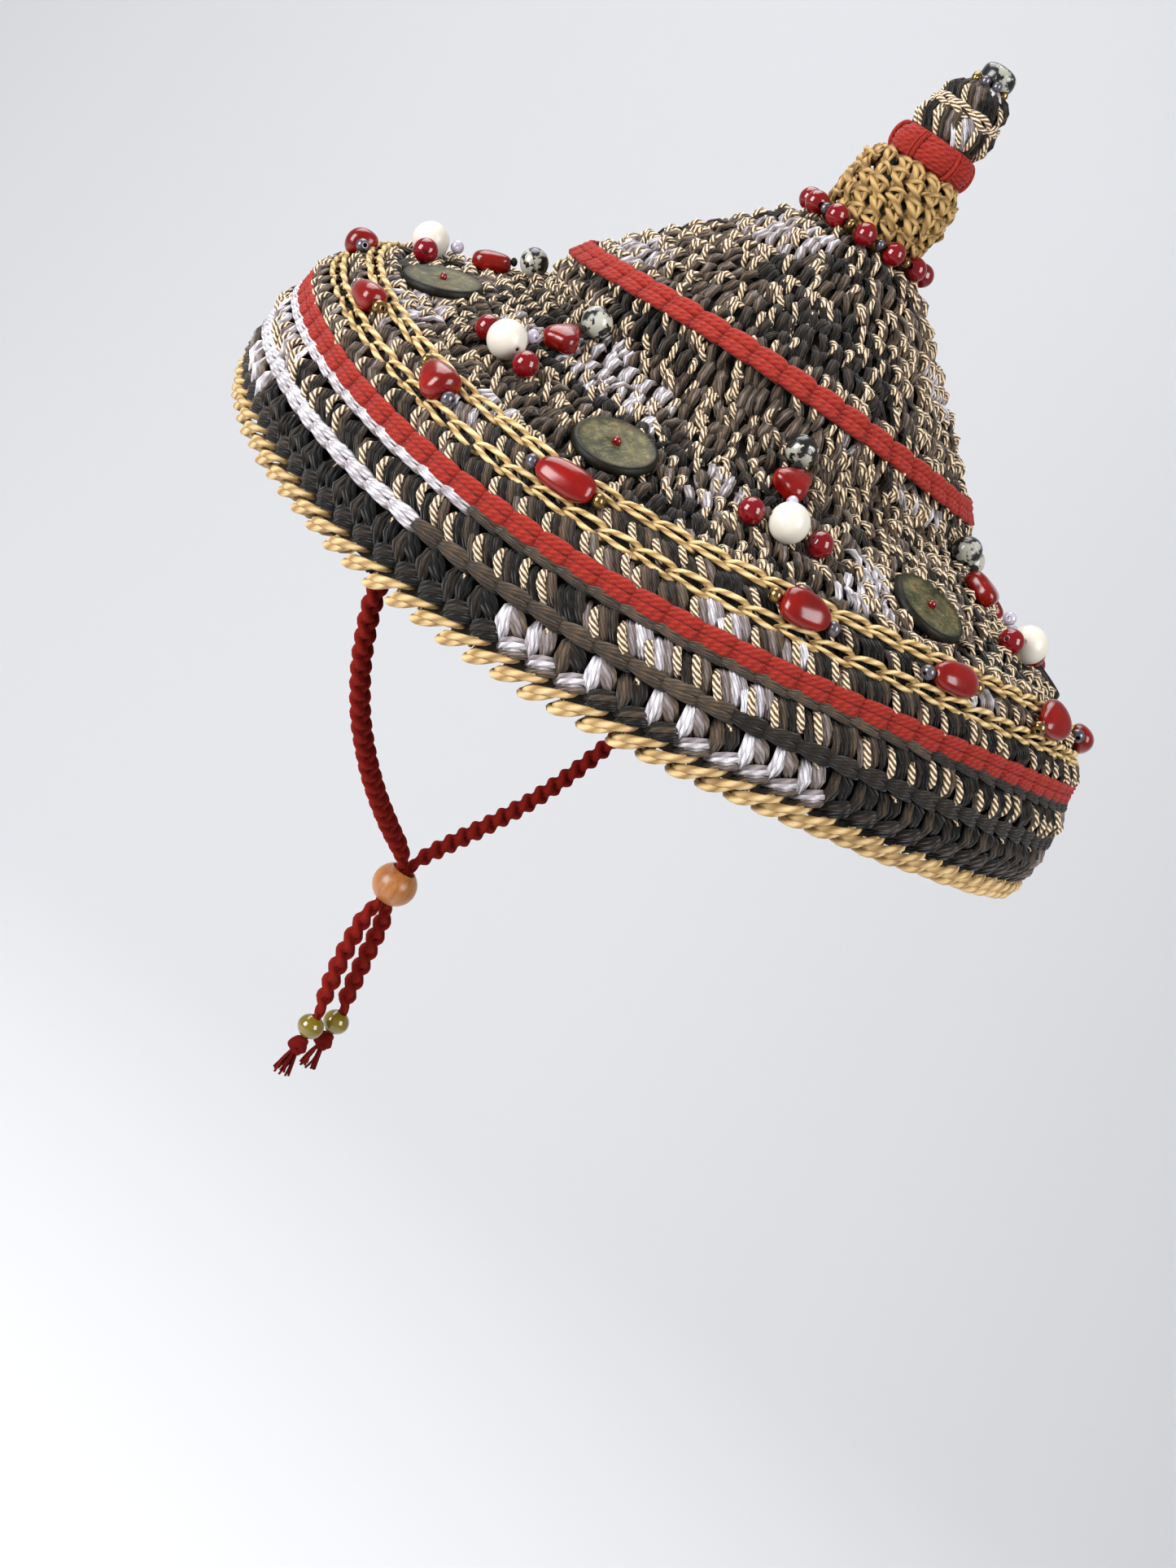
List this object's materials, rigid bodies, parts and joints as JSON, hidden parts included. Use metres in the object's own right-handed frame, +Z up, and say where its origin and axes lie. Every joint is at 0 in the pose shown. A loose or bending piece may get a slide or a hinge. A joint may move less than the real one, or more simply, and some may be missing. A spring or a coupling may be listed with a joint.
{
  "type": "sun hat",
  "caption": "Crocheted cone-shaped sun hat with a deep brim, bead and disc trim, raffia chains, a bound finial with a bead tip, and a chin cord through a sliding bead.",
  "frame": {"origin": "on the hat's axis at the level where the hat rests on a head, 70 mm above the rim", "axes": "+Z up through the crown to the finial, wearer faces -Y, wearer's left is +X"},
  "size_m": [0.3024, 0.3024, 0.4146],
  "materials": {
    "yarn_mix": "matte crocheted yarn with a gold thread",
    "red_yarn": "matte wool yarn",
    "raffia": "dry flat straw strand",
    "red_glass": "gloss, opaque",
    "red_stone": "polished stone",
    "mixed_beads": "white stone and dark red glass beads",
    "spotted_stone": "cream-grey stone with black spots",
    "olive_disc": "mottled olive shell or stone",
    "braided_cord": "matte braid",
    "wood": "satin",
    "green_glass": "gloss, opaque"
  },
  "bodies": {
    "root": {"crown": "yarn_mix", "brim_slope": "yarn_mix", "brim_wall": "yarn_mix", "red_crown_chain": "red_yarn", "raffia_chain_upper": "raffia", "raffia_chain_lower": "raffia", "red_brim_chain": "red_yarn", "raffia_edging": "raffia", "finial_bead_ring": "red_glass", "raffia_collar": "raffia", "red_wrap_band": "red_yarn", "finial_tip": "yarn_mix", "tip_bead": "spotted_stone", "disc_1": "olive_disc", "disc_2": "olive_disc", "disc_3": "olive_disc", "disc_4": "olive_disc", "disc_5": "olive_disc", "disc_6": "olive_disc", "disc_7": "olive_disc", "round_string_1": "mixed_beads", "uphill_string_1": "red_stone", "round_string_2": "mixed_beads", "uphill_string_2": "red_stone", "round_string_3": "mixed_beads", "uphill_string_3": "red_stone", "round_string_4": "mixed_beads", "uphill_string_4": "red_stone", "round_string_5": "mixed_beads", "uphill_string_5": "red_stone", "round_string_6": "mixed_beads", "uphill_string_6": "red_stone", "round_string_7": "mixed_beads", "uphill_string_7": "red_stone", "long_stone_1": "red_stone", "long_stone_2": "red_stone", "long_stone_3": "red_stone", "long_stone_4": "red_stone", "long_stone_5": "red_stone", "long_stone_6": "red_stone", "long_stone_7": "red_stone", "long_stone_8": "red_stone", "long_stone_9": "red_stone", "long_stone_10": "red_stone", "long_stone_11": "red_stone", "long_stone_12": "red_stone", "long_stone_13": "red_stone", "long_stone_14": "red_stone", "chin_cord_left": "braided_cord", "green_bead_left": "green_glass", "cord_knot_left": "braided_cord", "chin_cord_right": "braided_cord", "green_bead_right": "green_glass", "cord_knot_right": "braided_cord", "wooden_bead": "wood"}
  },
  "joints": []
}
